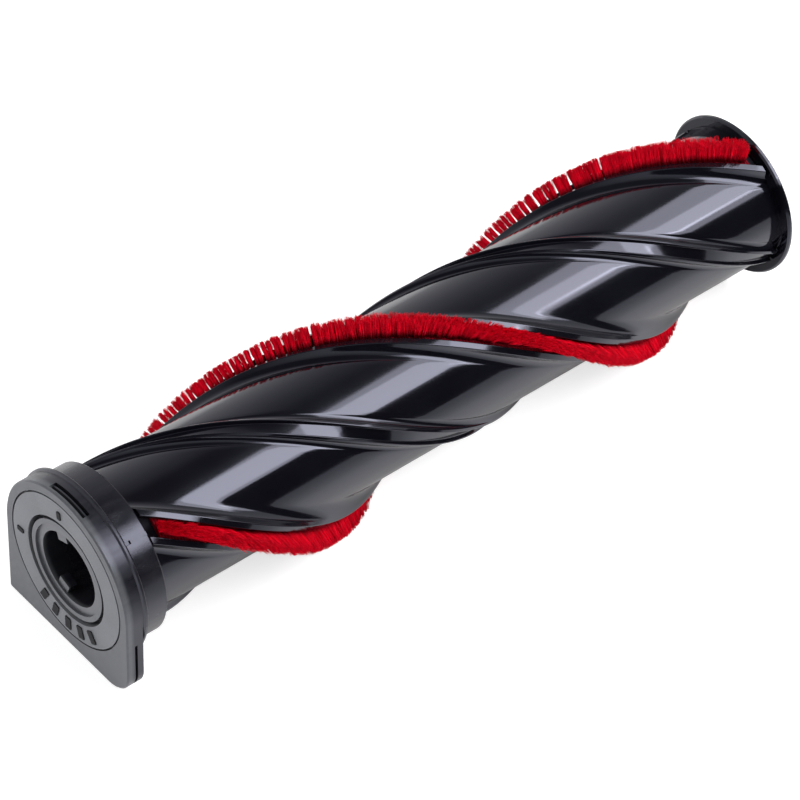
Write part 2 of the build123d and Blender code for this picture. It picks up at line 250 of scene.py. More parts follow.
def cap_black():
    """Cap plastic: matt grained face, smoother towards the skirt, with fine scuffs."""
    m = Nodes("cap_black")
    depth = m.add("ShaderNodeSeparateXYZ", Vector=m.place()).outputs["X"]
    fine = m.noise(2600, 3)
    scuffs = m.noise(140, 6, stretch=(1, 4, 4))
    inside = m.ramp(depth, 0.0, 1.0, FACE_X + FACE_GRAIN_DEPTH, FACE_X + 2 * FACE_GRAIN_DEPTH)
    base = m.add("ShaderNodeMix", data_type="RGBA", Factor=inside)
    m.feed(base.inputs[6], m.ramp(scuffs, (0.058, 0.061, 0.066), (0.072, 0.075, 0.081), 0.35, 0.65))
    m.feed(base.inputs[7], m.ramp(scuffs, (0.007, 0.007, 0.010), (0.011, 0.011, 0.014), 0.35, 0.65))
    share = m.ramp(depth, 0.0, 1.0, FACE_X, FACE_X + SKIRT_END_DEPTH)
    levels = ((0.0, 0.44), (0.04, 0.34), (0.45, 0.30), (0.55, 0.21), (1.0, 0.21))
    grain = m.add("ShaderNodeMath", operation="ADD")
    m.feed(grain.inputs[0], m.steps(share, levels))
    m.feed(grain.inputs[1], m.ramp(scuffs, -0.05, 0.07, 0.3, 0.7))
    m.set(Base_Color=base.outputs[2], Roughness=grain.outputs[0], IOR=1.5, Specular_Tint=PLASTIC_TINT)
    m.set(Specular_IOR_Level=0.45, Normal=m.bump(fine, 0.12, 0.03 * MM))
    return m.material


def painted_shade_black():
    """Dull dark plastic of the raised marks: the dark colour is painted shade, standing in for shadowed
    lettering strokes.
    """
    m = Nodes("painted_shade_black")
    fine = m.noise(1800, 3)
    # Painted shade: the dark base colour stands in for shadow on the marks
    m.set(Base_Color=m.ramp(fine, (0.010, 0.010, 0.012), (0.020, 0.020, 0.023), 0.35, 0.65))
    m.set(Roughness=m.ramp(fine, 0.6, 0.75, 0.3, 0.7), Specular_IOR_Level=0.12)
    m.set(Normal=m.bump(fine, 0.1, 0.02 * MM))
    return m.material


def red_pile():
    """Nylon filaments, each with its own tone: painted shade darkens them towards the root, and they are a
    little darker at the tip.
    """
    m = Nodes("red_pile")
    tone = m.add("ShaderNodeAttribute", attribute_name="tone").outputs["Fac"]
    height = m.add("ShaderNodeAttribute", attribute_name="height").outputs["Fac"]
    body = m.ramp(tone, (0.46, 0.0, 0.009), (1.0, 0.001, 0.024))
    shaded = m.add("ShaderNodeMix", data_type="RGBA")
    # Painted shade at the roots: the colour falls to the root colour in the filaments' lower part
    levels = ((0.0, 0.0), (0.2, 0.05), (0.5, 1.0), (0.75, 1.0), (1.0, 0.78))
    m.feed(shaded.inputs["Factor"], m.steps(height, levels))
    shaded.inputs[6].default_value = (0.08, 0.0, 0.003, 1)
    m.feed(shaded.inputs[7], body)
    m.set(Base_Color=shaded.outputs[2], Roughness=0.6)
    m.set(Specular_IOR_Level=0.06)
    return m.material


def red_weave():
    """Woven backing of the pile strips."""
    m = Nodes("red_weave")
    warp = m.add("ShaderNodeTexWave", Vector=m.place(), Scale=420.0, Distortion=1.5, bands_direction="X")
    fuzz = m.noise(2200, 4)
    m.set(Base_Color=m.ramp(warp.outputs["Fac"], (0.09, 0.0, 0.004), (0.22, 0.002, 0.01)))
    m.set(Roughness=m.ramp(fuzz, 0.75, 0.95), Specular_IOR_Level=0.1)
    m.set(Normal=m.bump(warp.outputs["Fac"], 0.5, 0.1 * MM))
    return m.material


def ground_steel():
    """Ground bearing steel with fine turning marks."""
    m = Nodes("ground_steel")
    marks = m.noise(900, 4, stretch=(6, 1, 1))
    m.set(Base_Color=m.ramp(marks, (0.52, 0.52, 0.54), (0.66, 0.66, 0.68), 0.3, 0.7))
    m.set(Metallic=1.0, Roughness=m.ramp(marks, 0.18, 0.34, 0.3, 0.7))
    m.set(Normal=m.bump(marks, 0.1, 0.01 * MM))
    return m.material


def grey_felt():
    """Pressed felt."""
    m = Nodes("grey_felt")
    fuzz = m.noise(1500, 6)
    m.set(Base_Color=m.ramp(fuzz, (0.18, 0.18, 0.19), (0.34, 0.34, 0.35), 0.3, 0.7))
    m.set(Roughness=m.ramp(fuzz, 0.85, 1.0), Specular_IOR_Level=0.1)
    m.set(Normal=m.bump(fuzz, 0.6, 0.2 * MM))
    return m.material


GLOSS_BLACK = gloss_black()
CAP_PLASTIC = cap_black()
DISC_PLASTIC = satin_black("disc_plastic", (0.10, 0.104, 0.111), 0.46, 2600)
HUB_PLASTIC = satin_black("hub_plastic", (0.04, 0.04, 0.045), 0.45, 1800)
# Raised marks whose dark colour is painted shade
MARK_PAINTED_SHADE = painted_shade_black()
RED_PILE = red_pile()
RED_WEAVE = red_weave()
GROUND_STEEL = ground_steel()
GREY_FELT = grey_felt()

SLOT_MATERIALS = {
    "cap_plastic": CAP_PLASTIC,
    "tube_plastic": GLOSS_BLACK,
    "pile": RED_WEAVE,
    "steel": GROUND_STEEL,
    "felt": GREY_FELT,
    "hub_plastic": HUB_PLASTIC,
}


def dress_cad_nodes():
    """Gives each node of the frame the material of its slot."""
    for part in frame["record"]["subparts"]:
        mesh = nodes[part["node"]].data
        mesh.materials.clear()
        mesh.materials.append(SLOT_MATERIALS[part["material_slot"]])
    nodes["face_disc"].data.materials[0] = DISC_PLASTIC


# Tube


def spiral_turn(x):
    """Angle by which the spiral has turned at a place along the axis."""
    return 2 * pi * (x - FACE_X) / SPIRAL_LEAD


def arc_through(start, middle, end, count):
    """Points on the circle through three points, from start to end."""
    (ax, ay), (bx, by), (cx, cy) = start, middle, end
    d = 2 * (ax * (by - cy) + bx * (cy - ay) + cx * (ay - by))
    ux = ((ax**2 + ay**2) * (by - cy) + (bx**2 + by**2) * (cy - ay) + (cx**2 + cy**2) * (ay - by)) / d
    uy = ((ax**2 + ay**2) * (cx - bx) + (bx**2 + by**2) * (ax - cx) + (cx**2 + cy**2) * (bx - ax)) / d
    radius = sqrt((ax - ux) ** 2 + (ay - uy) ** 2)
    first = atan2(ay - uy, ax - ux)
    sweep = (atan2(cy - uy, cx - ux) - first + pi) % (2 * pi) - pi
    return [
        (ux + radius * cos(first + sweep * i / count), uy + radius * sin(first + sweep * i / count))
        for i in range(count + 1)
    ]


def rounded(points, radii, steps):
    """Polyline with its inner corners rounded; a radius of 0 leaves a corner as it is."""
    out = [points[0]]
    for before, here, after, radius in zip(points, points[1:], points[2:], radii[1:]):
        a = Vector(before) - Vector(here)
        b = Vector(after) - Vector(here)
        half = a.angle(b) / 2
        if radius == 0:
            out.append(here)
            continue
        reach = min(radius * cos(half) / sin(half), EDGE_SHARE * a.length, EDGE_SHARE * b.length)
        p = Vector(here) + a.normalized() * reach
        q = Vector(here) + b.normalized() * reach
        for i in range(steps + 1):
            t = i / steps
            out.append(tuple(p * (1 - t) ** 2 + Vector(here) * 2 * t * (1 - t) + q * t**2))
    out.append(points[-1])
    return out


def half_rib(base_half, corners):
    """Section of one side of a rib as (offset, radius) points, from its base to the middle of its floor."""
    base = Vector((-base_half, sqrt(TUBE_RADIUS**2 - base_half**2)))
    side = [Vector((-half * MM, TUBE_RADIUS + height * MM)) for half, height, edge in corners]
    run = side[0] - base
    inward = Vector((run.y, -run.x)).normalized()
    bend = (base + side[0]) / 2 + inward * FLARE_HOLLOW
    flare = arc_through(tuple(base), tuple(bend), tuple(side[0]), FLARE_STEPS)
    lip = flare[-2:] + [tuple(p) for p in side[1:]]
    edges = [edge * MM for half, height, edge in corners]
    floor_middle = (0.0, side[-1].y)
    return flare[:-2] + rounded(lip + [floor_middle], [0] + edges + [0], EDGE_STEPS)


def rib_points(base_half, near_side, far_side):
    """Section of a rib, from one base over the channel to the other."""
    far_half = half_rib(base_half, far_side)
    return half_rib(base_half, near_side) + [(-offset, radius) for offset, radius in far_half[-2::-1]]


def tube_section():
    """Outline of the ribbed tube where the spiral starts, in (y, z), and its points inside the channels."""
    channel = (CHANNEL_BASE_HALF, CHANNEL_NEAR_SIDE, CHANNEL_FAR_SIDE)
    groove = (GROOVE_BASE_HALF, GROOVE_SIDE, GROOVE_SIDE)
    kinds = [channel, groove] * 2
    outline = []
    inside = []
    for number, kind in enumerate(kinds):
        angle = SPIRAL_PHASE + number * pi / 2
        c, s = cos(angle), sin(angle)
        for offset, radius in rib_points(*kind):
            if kind is channel and abs(offset) < CHANNEL_ROOM_HALF and radius < CHANNEL_ROOM_RADIUS:
                inside.append(len(outline))
            outline.append((radius * c - offset * s, radius * s + offset * c))
        next_base = kinds[(number + 1) % len(kinds)][0]
        start = angle + asin(kind[0] / TUBE_RADIUS)
        end = angle + pi / 2 - asin(next_base / TUBE_RADIUS)
        for i in range(1, SKIN_STEPS):
            a = start + (end - start) * i / SKIN_STEPS
            outline.append((TUBE_RADIUS * cos(a), TUBE_RADIUS * sin(a)))
    return np.array(outline), inside


def outline_normals(outline):
    """Outward normals of a closed outline, with long edges counting for more."""
    step = np.roll(outline, -1, 0) - outline
    side = np.stack([step[:, 1], -step[:, 0]], 1)
    total = side + np.roll(side, 1, 0)
    return total / np.linalg.norm(total, axis=1, keepdims=True)


def turned_points(points, angle):
    """Points in (y, z) turned about the axis."""
    c, s = cos(angle), sin(angle)
    return points @ np.array([[c, s], [-s, c]])


class ShadedMesh:
    """Vertices and faces with a normal for each corner."""

    def __init__(self):
        self.points = []
        self.faces = []
        self.normals = []

    def ring(self, x, outline):
        """Adds a ring of points and returns its first index."""
        first = len(self.points)
        self.points += [(x, y, z) for y, z in outline]
        return first

    def band(self, first, second, count, normals_first, normals_second):
        """Quads from one ring to the next."""
        for i in range(count):
            j = (i + 1) % count
            self.faces.append((first + i, first + j, second + j, second + i))
            self.normals += [normals_first[i], normals_first[j], normals_second[j], normals_second[i]]

    def flat_ring(self, outer, outer_count, inner, inner_count, side):
        """Flat face between two rings at one place along the axis, looking along side."""
        loops = [self.points[outer:outer + outer_count], self.points[inner:inner + inner_count]]
        indices = list(range(outer, outer + outer_count)) + list(range(inner, inner + inner_count))
        flat = [[Vector((y, z, 0)) for x, y, z in loop] for loop in loops]
        for triangle in tessellate_polygon(flat):
            a, b, c = (Vector(self.points[indices[k]]) for k in triangle)
            order = triangle if (b - a).cross(c - a).x * side > 0 else triangle[::-1]
            self.faces.append(tuple(indices[k] for k in order))
            self.normals += [(side, 0, 0)] * 3

    def build(self, name, material):
        """Object made of the mesh."""
        mesh = bpy.data.meshes.new(name)
        mesh.from_pydata(self.points, [], self.faces)
        mesh.shade_smooth()
        mesh.normals_split_custom_set(self.normals)
        mesh.materials.append(material)
        return link(bpy.data.objects.new(name, mesh))


def circle(radius, count):
    """Points round the axis in (y, z)."""
    angles = 2 * pi * np.arange(count) / count
    return np.stack([radius * np.cos(angles), radius * np.sin(angles)], 1)


def radial(outline, sign):
    """Normals of a circle, outward or inward, with no lengthwise part."""
    unit = sign * outline / np.linalg.norm(outline, axis=1, keepdims=True)
    return [(0.0, y, z) for y, z in unit]


def add_roller_tube():
    """Ribbed tube with rounded rib edges, in the place of the plain one."""
    outline, inside = tube_section()
    flat_normals = outline_normals(outline)
    count = len(outline)
    rib_start_x = FACE_X + RIB_START_STATION
    stations = np.linspace(rib_start_x, TUBE_END_X, TUBE_RINGS)
    shaded = ShadedMesh()
    rate = 2 * pi / SPIRAL_LEAD
    tangents = np.stack([-flat_normals[:, 1], flat_normals[:, 0]], 1)
    lengthwise = rate * (tangents * outline).sum(1)
    rings = []
    for x in stations:
        angle = spiral_turn(x)
        first = shaded.ring(x, turned_points(outline, angle))
        turned_normals = turned_points(flat_normals, angle)
        normals = np.column_stack([lengthwise, turned_normals])
        normals /= np.linalg.norm(normals, axis=1, keepdims=True)
        rings.append((first, [tuple(n) for n in normals]))
    for (first, first_normals), (second, second_normals) in zip(rings, rings[1:]):
        shaded.band(first, second, count, first_normals, second_normals)
    skin = circle(TUBE_RADIUS, ROUND_POINTS)
    bore = circle(TUBE_BORE_RADIUS, ROUND_POINTS)
    neck = shaded.ring(rib_start_x, skin)
    end = shaded.ring(TUBE_START_X, skin)
    bore_near = shaded.ring(TUBE_START_X, bore)
    bore_far = shaded.ring(TUBE_END_X, bore)
    shaded.band(end, neck, ROUND_POINTS, radial(skin, 1), radial(skin, 1))
    shaded.band(bore_far, bore_near, ROUND_POINTS, radial(bore, -1), radial(bore, -1))
    shaded.flat_ring(rings[0][0], count, neck, ROUND_POINTS, -1)
    shaded.flat_ring(end, ROUND_POINTS, bore_near, ROUND_POINTS, -1)
    shaded.flat_ring(rings[-1][0], count, bore_far, ROUND_POINTS, 1)
    tube = shaded.build("ribbed_tube", GLOSS_BLACK)
    shares = np.zeros(len(shaded.points), np.float32)
    for first, _ in rings:
        shares[[first + i for i in inside]] = 1
    tube.data.attributes.new("inside", "FLOAT", "POINT").data.foreach_set("value", shares)
    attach(tube, "roller")
    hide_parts("roller_tube")


# Pile strips

STRIP_STARTS = {"bristle_strip_a": 0, "bristle_strip_b": 2}
BACKING_LOW = 20.3 * MM
BACKING_TOP = 21.5 * MM
BACKING_HALF = 4.2 * MM
BACKING_RINGS = 160
# Rows of tufts along a strip: pitch, half width where rows show and where they don't, narrowing to the tips
ROW_PITCH = 1.25 * MM
ROW_HALF = 0.37 * MM
ROW_MIXED_HALF = 0.75 * MM
ROW_CLOSING = 0.55
# Tufts across a row and filaments in a tuft
TUFTS_A_ROW = 8
FIBRES_A_TUFT = 20
TUFT_HALF = 0.4 * MM
PILE_HALF = 1.6 * MM
ROW_RADIUS = 25.0 * MM
FIBRE_ROOT_RADIUS = 0.065 * MM
FIBRE_TIP_RADIUS = 0.045 * MM
ROOT_DEPTH = 0.2 * MM
# Unevenness of places, leans and lengths
TIP_SPREAD = 0.19 * MM
ROW_JITTER = 0.11 * MM
TUFT_JITTER = 0.15 * MM
ROW_LEAN = 0.09 * MM
TUFT_LEAN = 0.13 * MM
ROW_SHORT = 0.16 * MM
TUFT_SHORT = 0.28 * MM
FIBRE_SHORT = 0.42 * MM
FIBRE_UNEVEN = 0.32 * MM
FAN = 0.12
# Mean tone of the filaments, and how it varies by filament and by tuft
TONE_MEAN = 0.5
FIBRE_TONE = 0.26
TUFT_TONE = 0.14
# Rounded end of the strips at the cap
END_ROUND_REACH = 5.0 * MM
END_NARROWING = 0.2
END_SHORT = 0.6 * MM
END_LEAN = 1.5 * MM
# How far the filaments stand proud of the solid strips, by station along the roll, in millimetres
PILE_PROUD = {
    "bristle_strip_a": (
        (18, 0.5),
        (45, 0.8),
        (60, 1.7),
        (84, 1.8),
        (92, 1.2),
        (97, 0.2),
        (106, -0.1),
        (150, 0.8),
        (175, 1.0),
    ),
    "bristle_strip_b": (
        (18, 0.4),
        (100, 0.6),
        (150, 0.9),
        (168, 1.2),
        (192, 1.4),
        (200, 1.3),
        (207, 0.3),
        (215, -0.1),
    ),
}
# How far the tips lean across the strip, by station along the roll, in millimetres
PILE_LEAN = {
    "bristle_strip_a": (
        (18, 0.0),
        (28, 0.1),
        (36, 0.5),
        (60, 0.6),
        (75, 0.2),
        (195, 0.0),
        (210, -0.7),
        (227, -0.8),
    ),
    "bristle_strip_b": (
        (90, 0.0),
        (102, -0.7),
        (120, -1.0),
        (130, -0.6),
        (140, -0.8),
        (150, 0.0),
        (165, 0.5),
        (180, 0.2),
    ),
}
# How clearly the pile parts into rows, by station along the roll in millimetres: 1 fully, 0 not at all
ROWS_CLEAR = {
    "bristle_strip_a": ((18, 0.1), (100, 0.2), (140, 0.8), (180, 0.8), (200, 0.2), (227, 0.1)),
    "bristle_strip_b": ((18, 0.6), (40, 0.8), (80, 0.8), (100, 0.3), (227, 0.2)),
}


def on_strip(x, offset, radius, start_number):
    """Points in a strip's own coordinates brought into the frame."""
    angle = SPIRAL_PHASE + start_number * pi / 2 + spiral_turn(x)
    y = radius * np.cos(angle) - offset * np.sin(angle)
    z = radius * np.sin(angle) + offset * np.cos(angle)
    return np.stack([x, y, z], -1)


def by_station(table, x):
    """Value of a table of stations and values at places along the axis."""
    stations, values = zip(*table)
    return np.interp((x - FACE_X) / MM, stations, values)


def pile_fibres(node):
    """Root and tip of each filament of a strip, and its tone."""
    start_number = STRIP_STARTS[node]
    # Rows stand square to the strip, so a tuft's place along the axis shifts with its offset
    slope = 2 * pi * ROW_RADIUS / SPIRAL_LEAD
    shift = slope / (1 + slope**2)
    rows = np.arange(STRIP_START_X + ROW_PITCH / 2, STRIP_END_X, ROW_PITCH)
    rows += random.normal(0, ROW_JITTER, len(rows))
    tufts = np.linspace(-PILE_HALF, PILE_HALF, TUFTS_A_ROW)
    row_x, tuft_offset = (a.ravel() for a in np.meshgrid(rows, tufts, indexing="ij"))
    count = len(row_x)
    shape = (count, FIBRES_A_TUFT)
    end_share = np.clip(1 - (row_x - STRIP_START_X) / END_ROUND_REACH, 0, 1) ** 2
    tuft_offset = tuft_offset * (1 - END_NARROWING * end_share) + random.normal(0, TUFT_JITTER, count)
    row_lean = np.repeat(random.normal(0, ROW_LEAN, len(rows)), len(tufts))
    lean_x = row_lean + random.normal(0, TUFT_LEAN, count) - END_LEAN * end_share
    lean_offset = FAN * tuft_offset + MM * by_station(PILE_LEAN[node], row_x)
    lean_offset += random.normal(0, TUFT_LEAN, count)
    row_short = np.repeat(np.abs(random.normal(0, ROW_SHORT, len(rows))), len(tufts))
    short = row_short + np.abs(random.normal(0, TUFT_SHORT, count)) + END_SHORT * end_share
    root_offset = tuft_offset[:, None] + random.uniform(-TUFT_HALF, TUFT_HALF, shape)
    clear = by_station(ROWS_CLEAR[node], row_x)[:, None]
    from_row = (ROW_HALF * clear + ROW_MIXED_HALF * (1 - clear)) * random.uniform(-1, 1, shape)
    root_x = row_x[:, None] - shift * root_offset + from_row
    tip_offset = root_offset + lean_offset[:, None] + random.normal(0, TIP_SPREAD, shape)
    tip_x = root_x - ROW_CLOSING * clear * from_row + lean_x[:, None] + random.normal(0, TIP_SPREAD, shape)
    root_x = np.clip(root_x, STRIP_START_X, STRIP_END_X)
    tip_x = np.clip(tip_x, STRIP_START_X - END_LEAN, STRIP_END_X)
    proud = MM * by_station(PILE_PROUD[node], tip_x)
    drop = short[:, None] + np.abs(random.normal(FIBRE_SHORT, FIBRE_UNEVEN, shape)) - proud
    tip_radius = np.sqrt((PILE_RADIUS - drop) ** 2 - tip_offset**2)
    root_radius = np.full(shape, BACKING_TOP - ROOT_DEPTH)
    root = on_strip(root_x, root_offset, root_radius, start_number).reshape(-1, 3)
    tip = on_strip(tip_x, tip_offset, tip_radius, start_number).reshape(-1, 3)
    tone = random.normal(TONE_MEAN, FIBRE_TONE, shape) + random.normal(0, TUFT_TONE, count)[:, None]
    return root, tip, np.clip(tone, 0, 1).ravel()


def add_pile(node):
    """Filaments of one strip, each a thin tapered three-sided stem."""
    root, tip, tone = pile_fibres(node)
    count = len(root)
    along = (tip - root) / np.linalg.norm(tip - root, axis=1, keepdims=True)
    spin = random.normal(0, 1, (count, 3))
    side = np.cross(along, spin)
    side /= np.linalg.norm(side, axis=1, keepdims=True)
    other = np.cross(along, side)
    points = np.empty((count, 2, 3, 3))
    for level, (centre, radius) in enumerate([(root, FIBRE_ROOT_RADIUS), (tip, FIBRE_TIP_RADIUS)]):
        for corner in range(3):
            a = 2 * pi * corner / 3
            points[:, level, corner] = centre + radius * (cos(a) * side + sin(a) * other)
    # Each stem has three corners at its root and three at its tip
    first = 6 * np.arange(count)
    sides = np.array([[0, 1, 4, 3], [1, 2, 5, 4], [2, 0, 3, 5]])
    quads = (sides[None] + first[:, None, None]).reshape(-1, 4)
    tips = np.array([3, 4, 5])[None] + first[:, None]
    mesh = bpy.data.meshes.new(node + "_pile")
    mesh.from_pydata(points.reshape(-1, 3).tolist(), [], quads.tolist() + tips.tolist())
    for name, values in (
        ("tone", np.repeat(tone, 6)),
        ("height", np.tile(np.repeat([0.0, 1.0], 3), count)),
    ):
        mesh.attributes.new(name, "FLOAT", "POINT").data.foreach_set("value", values.astype(np.float32))
    mesh.shade_smooth()
    mesh.materials.append(RED_PILE)
    pile = link(bpy.data.objects.new(node + "_pile", mesh))
    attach(pile, "roller")
    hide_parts(node)


def add_backing(node):
    """Woven band under the channel's lips that the pile stands on."""
    start_number = STRIP_STARTS[node]
    stations = np.linspace(STRIP_START_X, STRIP_END_X, BACKING_RINGS)
    low = [(-BACKING_HALF, BACKING_LOW), (BACKING_HALF, BACKING_LOW)]
    section = low + [(BACKING_HALF, BACKING_TOP), (-BACKING_HALF, BACKING_TOP)]
    points = []
    faces = []
    for x in stations:
        for offset, radius in section:
            points.append(tuple(on_strip(np.array(x), np.array(offset), np.array(radius), start_number)))
    for ring in range(len(stations) - 1):
        for i in range(4):
            j = (i + 1) % 4
            faces.append((4 * ring + j, 4 * ring + i, 4 * ring + 4 + i, 4 * ring + 4 + j))
    last = 4 * (len(stations) - 1)
    faces.append((0, 1, 2, 3))
    faces.append((last + 3, last + 2, last + 1, last))
    mesh = bpy.data.meshes.new(node + "_backing")
    mesh.from_pydata(points, [], faces)
    mesh.materials.append(RED_WEAVE)
    backing = link(bpy.data.objects.new(node + "_backing", mesh))
    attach(backing, "roller")
    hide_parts(node)


# Marks on the face disc: plain raised bars and pads

BAR_ANGLES = (-60.0, -75.0, -91.0, -107.0, -123.0)
BAR_RADIUS = 19.2 * MM
BAR_SIZE = (2.3 * MM, 4.0 * MM)
PAD_PLACES = ((2.0 * MM, 18.6 * MM), (19.2 * MM, -0.5 * MM))
PAD_SIZE = (1.5 * MM, 2.6 * MM)
MARK_HEIGHT = 0.3 * MM
MARK_EDGE = 0.07 * MM
MARK_ROUND = 0.35 * MM
MARK_ROUND_STEPS = 4
MARK_SUNK = 0.05 * MM


def mark_outline(size, shrink):
    """Rounded rectangle about the origin in (y, z)."""
    half_width, half_length = (side / 2 - shrink for side in size)
    radius = MARK_ROUND - shrink
    points = []
    for corner in range(4):
        sign_y, sign_z = ((1, 1), (-1, 1), (-1, -1), (1, -1))[corner]
        for i in range(MARK_ROUND_STEPS + 1):
            a = pi / 2 * (corner + i / MARK_ROUND_STEPS)
            points.append((
                sign_y * (half_width - radius) + radius * cos(a),
                sign_z * (half_length - radius) + radius * sin(a),
            ))
    return np.array(points)


def add_mark(name, size, centre, angle):
    """Low pad with softened edges, sunk a little into the disc."""
    levels = [(MARK_SUNK, 0.0), (-MARK_HEIGHT + MARK_EDGE, 0.0), (-MARK_HEIGHT, MARK_EDGE)]
    points = []
    for depth, shrink in levels:
        ring = turned_points(mark_outline(size, shrink), angle) + np.array(centre)
        points += [(FACE_X + depth, y, z) for y, z in ring]
    count = len(points) // len(levels)
    faces = [tuple(range(count)), tuple(range(3 * count - 1, 2 * count - 1, -1))]
    for low in (0, count):
        for i in range(count):
            j = (i + 1) % count
            faces.append((low + i, low + count + i, low + count + j, low + j))
    mesh = bpy.data.meshes.new(name)
    mesh.from_pydata(points, [], faces)
    mesh.materials.append(MARK_PAINTED_SHADE)
    mark = link(bpy.data.objects.new(name, mesh))
    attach(mark, "cap")


def add_marks():
    """Five bars in a row below the hub, and two small pads, one above it and one beside it."""
    for number, degrees in enumerate(BAR_ANGLES, 1):
        a = radians(degrees)
        add_mark(f"face_bar_{number}", BAR_SIZE, (BAR_RADIUS * cos(a), BAR_RADIUS * sin(a)), a + pi / 2)
    for number, (y, z) in enumerate(PAD_PLACES, 1):
        add_mark(f"face_pad_{number}", PAD_SIZE, (y, z), atan2(z, y) + pi / 2)


# Studio

FLOOR_REACH = 6.0
FLOOR_COLOUR = (0.62, 0.62, 0.62, 1)
# What the floor shows the camera on top of the light that falls on it
FLOOR_WHITE = 0.64
# How bright the floor shows in reflections, by distance across the axis, and in front of the cap: painted
# light that only reflections see, with painted shadow where it drops under the roll and a painted pool of
# light in front of the cap
FLOOR_GLEAM = (
    (-0.2, 0.0),
    (-0.13, 0.0),
    (-0.1, 0.1),
    (-0.067, 0.5),
    (-0.052, 0.85),
    (-0.04, 0.8),
    (-0.027, 0.5),
    (-0.018, 0.12),
    (-0.008, 0.0),
    (0.1, 0.2),
    (0.2, 0.6),
)
# Painted pool of light in front of the cap, seen only in reflections: its glow, and where along the axis it
# fades
FRONT_GLEAM = 1.1
FRONT_GLEAM_X = (FACE_X - 0.004, FACE_X + 0.012)
SOFTBOX_CENTRE = Vector((0.556, -0.522, 0.772))
SOFTBOX_LONG_AXIS = Vector((0.697, 0.634, 0.337))
# Nested lamps of the softbox: length, width, shift along, across and forward, turn, radiance
SOFTBOX_LAMPS = {
    "softbox": (1.2, 0.47, 0.0, 0.0, 0.0, 0.0, 5.0),
    "softbox_core": (0.8, 0.5, -0.127, -0.061, 0.02, -43.8, 3.8),
    "softbox_tube": (0.17, 0.055, -0.083, -0.219, 0.04, -43.8, 9.0),
}
# Large soft light behind the cap
FILL_PLACE = Vector((-0.62, 0.33, 0.71))
FILL_SIZE = 1.0
FILL_RADIANCE = 1.25
# Dark card in front of the roll, a painted dark reflection that only reflections see: its place, and its
# painted glow, which is higher at its foot
FLAG_Y = -0.16
FLAG_TOP_Z = 0.097
FLAG_X = (-0.5, 0.8)
FLAG_GLOW = 0.015
FLAG_FOOT_GLOW = 0.1
FLAG_FOOT_HEIGHT = 0.015
# Brightness of the room by height of the direction: 0 is level and 1 is overhead
ROOM_LEVELS = ((0.0, 1.0), (0.45, 0.85), (0.7, 0.6), (0.85, 0.32), (0.9, 0.09), (1.0, 0.07))


def view_axes(azimuth, elevation):
    """Right, up and back directions of a level view."""
    right = Vector((cos(azimuth), sin(azimuth), 0))
    back = Vector((sin(azimuth) * cos(elevation), -cos(azimuth) * cos(elevation), sin(elevation)))
    return right, back.cross(right), back


def add_camera():
    """Camera at the photograph's place."""
    right, up, back = view_axes(CAMERA_AZIMUTH, CAMERA_ELEVATION)
    rolled_right = right * cos(CAMERA_ROLL) + up * sin(CAMERA_ROLL)
    rolled_up = up * cos(CAMERA_ROLL) - right * sin(CAMERA_ROLL)
    aim = Vector((FACE_X + CAMERA_AIM_STATION, 0, 0))
    place = aim + back * CAMERA_DISTANCE - rolled_right * CAMERA_SLIDE_RIGHT - rolled_up * CAMERA_SLIDE_UP
    data = bpy.data.cameras.new("photo_camera")
    data.sensor_width = SENSOR_WIDTH
    data.lens = SENSOR_WIDTH * FOCAL_PIXELS / IMAGE_PIXELS
    camera = link(bpy.data.objects.new("photo_camera", data))
    turn = Matrix((rolled_right, rolled_up, back)).transposed()
    camera.matrix_world = Matrix.Translation(place) @ turn.to_4x4()
    bpy.context.scene.camera = camera


def add_floor():
    """Pale floor that keeps the object's shadow and shows white, and shows a painted glow in reflections
    only.
    """
    mesh = bpy.data.meshes.new("floor")
    corners = [(-1, -1), (1, -1), (1, 1), (-1, 1)]
    mesh.from_pydata([(x * FLOOR_REACH, y * FLOOR_REACH, FLOOR_Z) for x, y in corners], [], [(0, 1, 2, 3)])
    floor = link(bpy.data.objects.new("floor", mesh))
    m = Nodes("floor_paper")
    m.tree.nodes.remove(m.shader)
    paper = m.add("ShaderNodeBsdfDiffuse", Color=FLOOR_COLOUR)
    place = m.add("ShaderNodeSeparateXYZ", Vector=m.place())
    # Painted light for reflections: glow by distance across the axis, low under the roll as painted shadow,
    # and a pool in front of the cap
    across = place.outputs["Y"]
    (first, _), (last, _) = FLOOR_GLEAM[0], FLOOR_GLEAM[-1]
    stops = [((y - first) / (last - first), level) for y, level in FLOOR_GLEAM]
    pool = m.steps(m.ramp(across, 0.0, 1.0, first, last), stops)
    gleam = m.add("ShaderNodeMath", operation="MAXIMUM")
    m.feed(gleam.inputs[0], pool)
    m.feed(gleam.inputs[1], m.ramp(place.outputs["X"], FRONT_GLEAM, 0.0, *FRONT_GLEAM_X))
    path = m.add("ShaderNodeLightPath")
    mirrored = m.add("ShaderNodeMath", operation="MAXIMUM")
    m.feed(mirrored.inputs[0], path.outputs["Is Glossy Ray"])
    m.feed(mirrored.inputs[1], path.outputs["Is Transmission Ray"])
    in_mirror = m.add("ShaderNodeMath", operation="MULTIPLY")
    m.feed(in_mirror.inputs[0], mirrored.outputs[0])
    m.feed(in_mirror.inputs[1], gleam.outputs[0])
    strength = m.add("ShaderNodeMath", operation="MULTIPLY_ADD")
    m.feed(strength.inputs[0], path.outputs["Is Camera Ray"])
    m.feed(strength.inputs[1], FLOOR_WHITE)
    m.feed(strength.inputs[2], in_mirror.outputs[0])
    glow = m.add("ShaderNodeEmission", Color=(1, 1, 1, 1), Strength=strength.outputs[0])
    both = m.add("ShaderNodeAddShader")
    m.tree.links.new(paper.outputs[0], both.inputs[0])
    m.tree.links.new(glow.outputs[0], both.inputs[1])
    m.tree.links.new(both.outputs[0], m.output.inputs["Surface"])
    mesh.materials.append(m.material)


